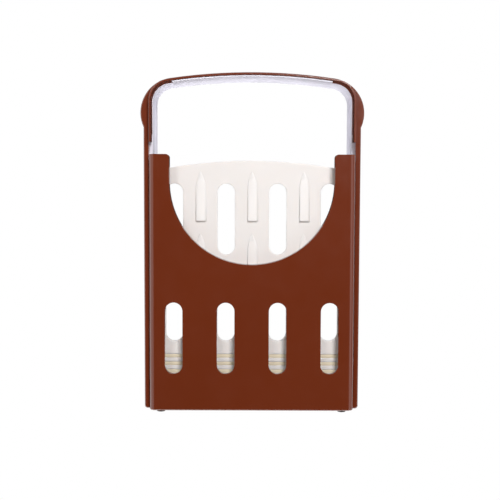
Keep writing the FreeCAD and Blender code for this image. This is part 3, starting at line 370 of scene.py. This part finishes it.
def quarter_centres(node):
    """Middle of the box of a node's points in each quarter that holds any, where its own middle
    parts left from right by x and low from high by z."""
    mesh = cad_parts[node].data
    points = np.empty(len(mesh.vertices) * 3, np.float32)
    mesh.vertices.foreach_get("co", points)
    points = points.reshape(-1, 3)
    middle = (points.min(0) + points.max(0)) / 2
    centres = []
    for right in (False, True):
        for upper in (False, True):
            here = (points[:, 0] > middle[0]) == right
            chosen = points[here & ((points[:, 2] > middle[2]) == upper)]
            if len(chosen):
                centres.append((chosen.min(0) + chosen.max(0)) / 2)
    return np.array(centres)


# %% Screws from behind
low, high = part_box("frame_screws")
rear_screw = screw(shank=1.1, length=13.5, head=1.9, thick=1.4, pitch=1.1) / 1000
grids = [stood(rear_screw, (c[0], low.y, c[2]), (0, 1, 0))
         for c in quarter_centres("frame_screws")]
closed_piece("gate_screws", grids, zinc, "gate", ["frame_screws"])

# %% Screws from below
SMALL_HEAD = 1.8              # mm; the heads just fill the box of their node
small_screw = screw(shank=0.9, length=4.0, head=SMALL_HEAD, thick=0.9, pitch=0.7) / 1000
for node, body in (("base_screws", "gate"), ("runner_screws", "stop")):
    low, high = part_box(node)
    sides = [low.x + SMALL_HEAD / 1000, high.x - SMALL_HEAD / 1000]
    grids = [stood(small_screw, (x, (low.y + high.y) / 2, high.z), (0, 0, -1)) for x in sides]
    closed_piece(f"small_{node}", grids, zinc, body, [node])

# %% [markdown]
# ## Hinge pins
# Each side of the bed turns on a short pin of drawn wire pressed into the leg. Its ends are
# broken with a small chamfer so that it starts into its bore.

# %% Hinge pins
# The chamfer's points: how far each is inside the pin's radius, and its distance from the end.
BROKEN_IN = np.array([0.35, 0.12, 0.0]) / 1000
BROKEN_ALONG = np.array([0.0, 0.08, 0.35]) / 1000
for side in ("left", "right"):
    low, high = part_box(f"hinge_pin_{side}")
    radius, length = (high.z - low.z) / 2, high.x - low.x
    inset = np.concatenate([BROKEN_IN, BROKEN_IN[::-1]])
    along = np.concatenate([BROKEN_ALONG, length - BROKEN_ALONG[::-1]])
    start = (low.x, (low.y + high.y) / 2, (low.z + high.z) / 2)
    pin = stood(turned(radius - inset, along), start, (1, 0, 0))
    closed_piece(f"hinge_pin_turned_{side}", [pin], zinc, "gate", [f"hinge_pin_{side}"])

# %% [markdown]
# ## Rubber pads
# A pad is glued into the underside, so its top is flat. Below, its rim is rounded and its
# middle is dished a little, which lets it grip like a shallow cup: the dish is a half ellipse,
# z = dish * (1 - (r / R)^2)^0.5.

# %% Rubber pads
PAD_CORNER, PAD_DISH = 0.35, 0.16        # of the pad's height
DISH_WIDE = 0.72                         # of the pad's radius


def pad_rings(radius, height):
    """Radii and heights of a pad's rings, from its dished middle to its glued face at z = 0."""
    bend = np.linspace(0, 0.5 * np.pi, 8)
    corner = PAD_CORNER * height
    rim_r = radius - corner + corner * np.cos(bend)
    rim_z = -height + corner - corner * np.sin(bend)
    inner = np.linspace(radius - corner, 0.02 * radius, 12)[1:]
    dish = PAD_DISH * height * np.clip(1 - (inner / (DISH_WIDE * radius)) ** 2, 0, 1) ** 0.5
    radii = np.concatenate([[radius * 0.98, radius], rim_r, inner])
    heights = np.concatenate([[0.0, -0.06 * height], rim_z, -height + dish])
    return radii[::-1], heights[::-1]


UP, BACK = (0, 0, 1), (0, -1, 0)         # from a pad's sole to its glued face
PADS = [(f"foot_{row}_{side}", "gate", UP)
        for row in ("front", "rear") for side in ("left", "right")]
PADS += [(f"stop_foot_{side}", "stop", UP) for side in ("left", "right")]
PADS += [(f"bed_foot_{side}", "bed", BACK) for side in ("left", "right")]
for node, body, axis in PADS:
    low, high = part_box(node)
    size = high - low
    height = size.z if axis == UP else size.y
    seat = (low + high) / 2 + Vector(axis) * height / 2
    pad = stood(turned(*pad_rings(size.x / 2, height), 56), seat, axis)
    closed_piece(f"pad_{node}", [pad], rubber, body, [node])

# %% [markdown]
# ## Leaf springs
# A leaf in the sill drops its bump into the runner's notches, one click for each thickness of
# slice. It is a strip carried along a bent line: z = roof, less a smooth dip at the bump.

# %% Leaf springs
SPRING_THICK = 0.0005
BUMP_PLACE = 0.0016           # from the spring's front end to the middle of its bump
BUMP_SLOPE = 0.5
BEND = 0.0003                 # how softly the straight runs turn into each other


def leaf(low, high, rows=70):
    """Section carried along Y. The line rises by BUMP_SLOPE times the distance from the bump,
    rounded there, and is held under the roof by a smooth minimum. The section's four corners
    ring the line."""
    y = np.linspace(low.y, high.y, rows)
    roof = high.z - SPRING_THICK / 2
    rise = BUMP_SLOPE * abs(y - low.y - BUMP_PLACE)
    line = low.z + SPRING_THICK / 2 + np.sqrt(rise ** 2 + BEND ** 2) - BEND
    below = roof - line
    line = roof - 0.5 * (below + np.sqrt(below ** 2 + (0.5 * BEND) ** 2)) + 0.25 * BEND
    line = np.minimum(line, roof)
    z = line[:, None] + SPRING_THICK / 2 * np.array([-1, -1, 1, 1])
    x = np.broadcast_to([low.x, high.x, high.x, low.x], z.shape)
    return np.stack([x, np.broadcast_to(y[:, None], z.shape), z], -1)[::-1]


for side in ("left", "right"):
    node = f"detent_spring_{side}"
    closed_piece(f"leaf_spring_{side}", [leaf(*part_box(node))], strip_steel, "gate", [node])

# %% [markdown]
# ## Ribs and painted groove shade on the bed
# The loaf leans on nine pointed ribs. The solid gives each its wedge, and the moulding adds what
# lets it leave the tool: a flank that slopes away on the right, a steeper one on the left, and a
# long pointed nose. A rib is a section of six points carried along Z. Its height grows evenly
# from nothing at the nose, and its half width by 1 - (1 - s)^2. At the near end five sand
# coloured strips lie in the grooves: their colour is a painted shade for the warm shade that falls
# there.

# %% Loaf ribs
low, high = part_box("loaf_bed")
RIB_HIGH = 0.0018
face = low.y + RIB_HIGH                  # flat of the bed behind the ribs
RIB_LONG, RIB_HALF = 0.0323, 0.0030
NOSE_OVER, NOSE_LONG = 0.0025, 0.013     # nose over the solid's point, and its whole length
FOOT_UNDER, FOOT_SLOPE = 0.0014, 0.0012  # the same at the lower end
PROUD = 1.06                             # the moulded rib's height to the solid's
FIRST_TIP, ROW_PITCH, COLUMN_PITCH = 0.010, 0.044, 0.0367
# Of each point of the section: its side, mm past the half width, part of the height, mm sunk.
SECTION = np.array([[-1, 0.55, 0.00, 1.2], [-1, 0.15, 0.45, 0.0], [-1, -0.15, 1.00, 0.0],
                    [1, -0.10, 1.00, 0.0], [1, 0.55, 0.72, 0.0], [1, 2.50, 0.00, 1.2]])


def loaf_rib(x, tip, rows=40):
    """t runs down from the solid's point, and s is its share of the nose or of the whole rib. The
    height also drops to nothing at the foot, and the flanks run on into the bed."""
    foot = RIB_LONG + FOOT_UNDER
    t = np.concatenate([np.linspace(foot, RIB_LONG + 0.0002, 6),
                        np.linspace(RIB_LONG, -NOSE_OVER, rows)])
    wide = RIB_HALF * (1 - (1 - np.clip((t + NOSE_OVER) / NOSE_LONG, 0, 1)) ** 2)
    rise = PROUD * RIB_HIGH * np.clip((t + NOSE_OVER) / (RIB_LONG + NOSE_OVER), 0, 1)
    rise = rise * np.clip((foot - t) / FOOT_SLOPE, 0, 1)
    side, past, part, sunk = SECTION.T
    across = x + side * (wide[:, None] + (wide / wide.max())[:, None] * past / 1000)
    out = face + sunk / 1000 - rise[:, None] * part
    return np.stack([across, out, np.broadcast_to((tip - t)[:, None], out.shape)], -1)


tips = [high.z - FIRST_TIP - row * ROW_PITCH for row in range(3)]
ribs = [loaf_rib(x, tip) for x in (-COLUMN_PITCH, 0.0, COLUMN_PITCH) for tip in tips]
closed_piece("loaf_ribs_moulded", ribs, bed_abs, "bed", [])

# %% Painted shade strips in the grooves
STRIP_WIDE, STRIP_DEEP, STRIP_HALF = 0.0025, 0.0009, 0.0624
STRIP_BACK = 0.00095                     # the strip's flat back under the flat of the bed
CROWN = 0.16                             # of the strip's depth
FIRST_STRIP, STRIP_PITCH = 0.03745, 0.0055


def painted_groove_shade_strip(foot):
    """Section of a flat back and a crowned front, carried along X. The crown is a parabola:
    its height falls by CROWN * s^2 from the middle of the strip, s = 0, to its sides, s = +-1."""
    s = np.linspace(-1, 1, 9)
    back = face + STRIP_BACK
    y = np.concatenate([back - STRIP_DEEP * (1 - CROWN * s ** 2), [back, back]])
    z = foot + STRIP_WIDE * np.concatenate([0.5 + 0.5 * s, [1, 0]])
    x = np.linspace(-STRIP_HALF, STRIP_HALF, 24)[::-1]
    shape = (len(x), len(y))
    return np.stack([np.broadcast_to(x[:, None], shape), np.broadcast_to(y, shape),
                     np.broadcast_to(z, shape)], -1)


# Five strips laid in the grooves, coloured as painted shade.
strips = [painted_groove_shade_strip(FIRST_STRIP - STRIP_PITCH * row) for row in range(5)]
closed_piece("painted_groove_shade_strips", strips, groove_shade_plastic, "bed", [])

# %% [markdown]
# ## Studio
# A white object on white paper is lit from all round, but if the same white were mirrored flat in
# the brown plastic it would look like milk. So the key light hangs high in front on the right, and
# a weaker one on the left, where the flat faces can't mirror them into the lens and where the light
# still reaches down into the slots. Two long panels at the sides are there only to be mirrored:
# they draw the lines of light down the rounded edges. The air is a pale grey over a white table
# that is brighter behind the object, with a dark hole round the lens.

# %% Floor
FLOOR_RADIUS = 40.0
rings = turned(FLOOR_RADIUS * np.array([0.001, 0.02, 0.1, 1.0]), [0.0] * 4, 64)
mesh = bpy.data.meshes.new("studio_floor")
mesh.from_pydata(rings.reshape(-1, 3).tolist(), [], grid_faces(4, 64).tolist())
floor = bpy.data.objects.new("studio_floor", mesh)
bpy.context.scene.collection.objects.link(floor)
paper, tree = new_material("paper_white_matt")
white = add(tree, "ShaderNodeEmission", Color=(1, 1, 1, 1), Strength=1.0)
add(tree, "ShaderNodeOutputMaterial", Surface=white.outputs["Emission"])
mesh.materials.append(paper)
# The air below the horizon lights the object as the paper would, so only the lens sees the disc.
floor.visible_diffuse = floor.visible_glossy = False
floor.visible_transmission = floor.visible_shadow = False
print("floor:", 2 * FLOOR_RADIUS, "m across")

# %% Air
air = bpy.data.worlds.new("studio_air")
air.use_nodes = True
tree = air.node_tree
tree.nodes.clear()
way = add(tree, "ShaderNodeTexCoord").outputs["Generated"]      # direction of the ray
axes = add(tree, "ShaderNodeSeparateXYZ", Vector=way).outputs
hole = add(tree, "ShaderNodeVectorMath", {"operation": "DOT_PRODUCT"}, _0=way,
           _1=(0.0, -0.9957, -0.093))                           # middle of the dark hole
lens = add(tree, "ShaderNodeLightPath").outputs["Is Camera Ray"]
HOLE_INNER, HOLE_OUTER = math.cos(math.radians(16)), math.cos(math.radians(28))
REAR_OUTER, REAR_INNER = math.cos(math.radians(58)), math.cos(math.radians(32))
STEPS = {            # value, where the smooth step starts and ends, and the light at its two ends
    "table": (axes["Z"], -0.1, -0.7, 0.20, 1.75),              # low walls, then the white table
    "rear": (axes["Y"], -0.3, 0.4, 0.34, 1.85),                # the table is brighter at the back
    "backdrop": (axes["Y"], 0.0, 0.3, 0.0, 0.90),
    "flag": (hole.outputs["Value"], HOLE_INNER, HOLE_OUTER, 0.02, 1.0),       # dark round the lens
    "behind": (axes["Y"], REAR_OUTER, REAR_INNER, 1.0, 0.02),  # and dark straight behind
}
steps = {}
for name, (value, start, end, first, last) in STEPS.items():
    ramp = add(tree, "ShaderNodeMapRange", {"interpolation_type": "SMOOTHSTEP"}, Value=value,
               From_Min=start, From_Max=end, To_Min=first, To_Max=last)
    steps[name] = ramp.outputs["Result"]
# Light = (table * rear + backdrop) * flag * behind, but the lens itself sees plain white paper.
level = steps["table"]
for operation, other in (("MULTIPLY", steps["rear"]), ("ADD", steps["backdrop"]),
                         ("MULTIPLY", steps["flag"]), ("MULTIPLY", steps["behind"]),
                         ("MAXIMUM", lens)):
    result = add(tree, "ShaderNodeMath", {"operation": operation}, _0=level, _1=other)
    level = result.outputs["Value"]
paper_air = add(tree, "ShaderNodeBackground", Color=(1, 1, 1, 1), Strength=level)
add(tree, "ShaderNodeOutputWorld", Surface=paper_air.outputs["Background"])
bpy.context.scene.world = air
bpy.context.scene.view_settings.view_transform = "Standard"
print("air:", len(tree.nodes), "nodes")

# %% Softboxes and side panels
MIDDLE = (0, 0, 0.12)
LIGHTS = {            # place, aim, width, height and power
    "overhead_right": ((0.40, -1.38, 0.84), MIDDLE, 0.5, 0.5, 23.5),
    "overhead_left": ((-0.72, -1.20, 0.80), MIDDLE, 0.5, 0.5, 6.0),
    "panel_left": ((-0.75, -0.60, 0.15), (0, -0.60, 0.15), 1.7, 1.1, 8.0),
    "panel_right": ((0.75, -0.85, 0.15), (0, -0.85, 0.15), 1.2, 1.1, 6.0),
}
for name, (place, aim, width, height, power) in LIGHTS.items():
    light = bpy.data.lights.new(name, "AREA")
    light.shape = "RECTANGLE"
    light.size, light.size_y, light.energy = width, height, power
    lamp = bpy.data.objects.new(name, light)
    lamp.location = place
    lamp.rotation_euler = (Vector(aim) - Vector(place)).to_track_quat("-Z", "Y").to_euler()
    lamp.visible_camera = False
    lamp.visible_diffuse = name.startswith("overhead")     # the panels are only mirrored
    bpy.context.scene.collection.objects.link(lamp)
print("lights:", ", ".join(LIGHTS))
